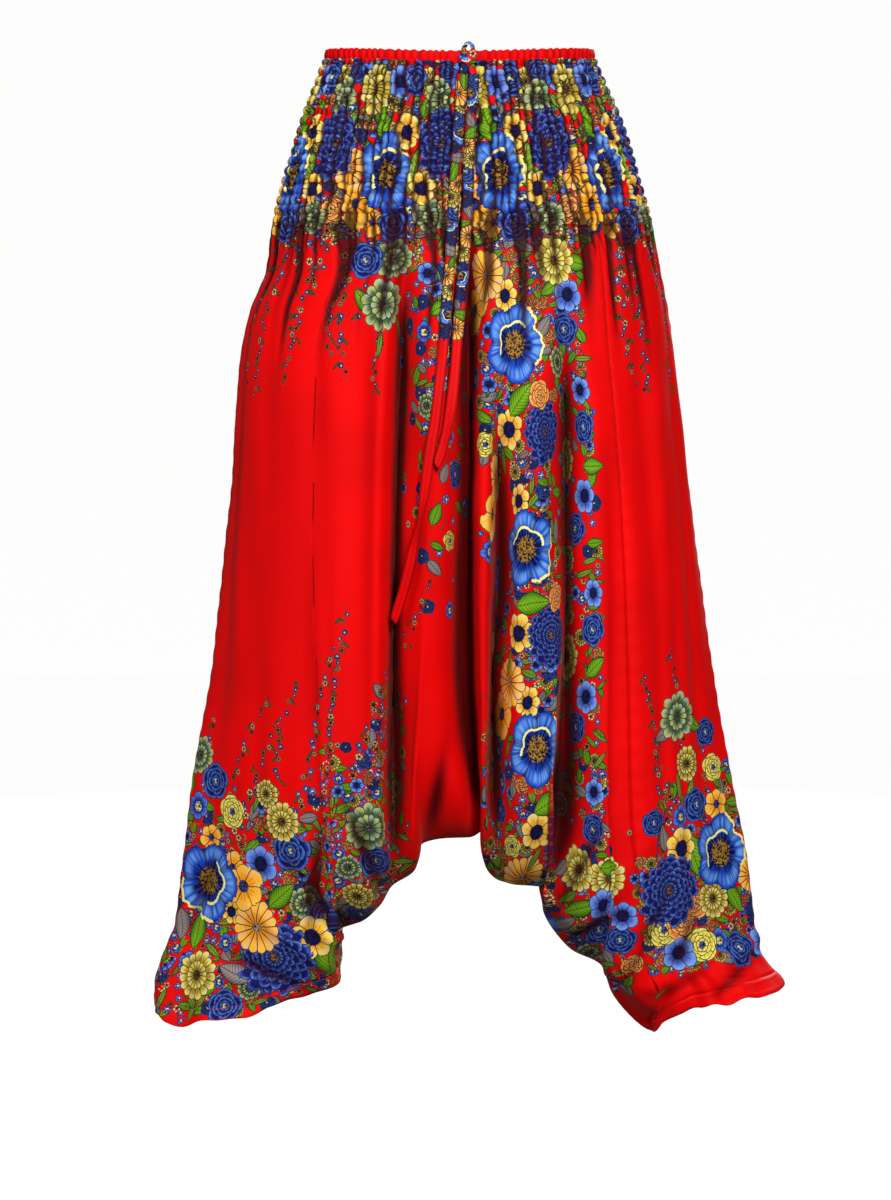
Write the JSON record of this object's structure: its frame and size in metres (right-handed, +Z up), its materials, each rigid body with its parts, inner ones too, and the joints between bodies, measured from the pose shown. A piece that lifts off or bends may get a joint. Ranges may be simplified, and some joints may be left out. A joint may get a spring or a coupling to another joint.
{
  "type": "harem pants",
  "caption": "Hollow worn harem pants with a shirred elastic waist, a flat waist tie, a dropped crotch, deep soft folds and open ankles, in thin floral printed cloth.",
  "frame": {"origin": "middle of the waist opening, level with the top edge at the sides and back, where the wearer's waist holds the garment", "axes": "+Z up, -Y to the front of the garment, +X to the wearer's left"},
  "size_m": [0.6081, 0.3096, 0.934],
  "materials": {
    "printed_cloth": "thin soft rayon, floral border print on red, faint sheen",
    "shirred_cloth": "the same cloth gathered on rows of elastic thread, dense floral print",
    "casing": "plain red cloth ruffled over elastic",
    "hem": "turned and stitched edge of the same cloth",
    "tie": "flat turned strap of the same printed cloth"
  },
  "bodies": {
    "root": {"waist_casing": "casing", "yoke_front": "shirred_cloth", "yoke_back": "shirred_cloth", "front_panel": "printed_cloth", "front_side_panel": "printed_cloth", "back_panel_right": "printed_cloth", "back_panel_left": "printed_cloth", "ankle_hem_right": "hem", "ankle_hem_left": "hem", "tie_knot": "tie", "tie_long_end": "tie", "tie_short_end": "tie"}
  },
  "joints": []
}
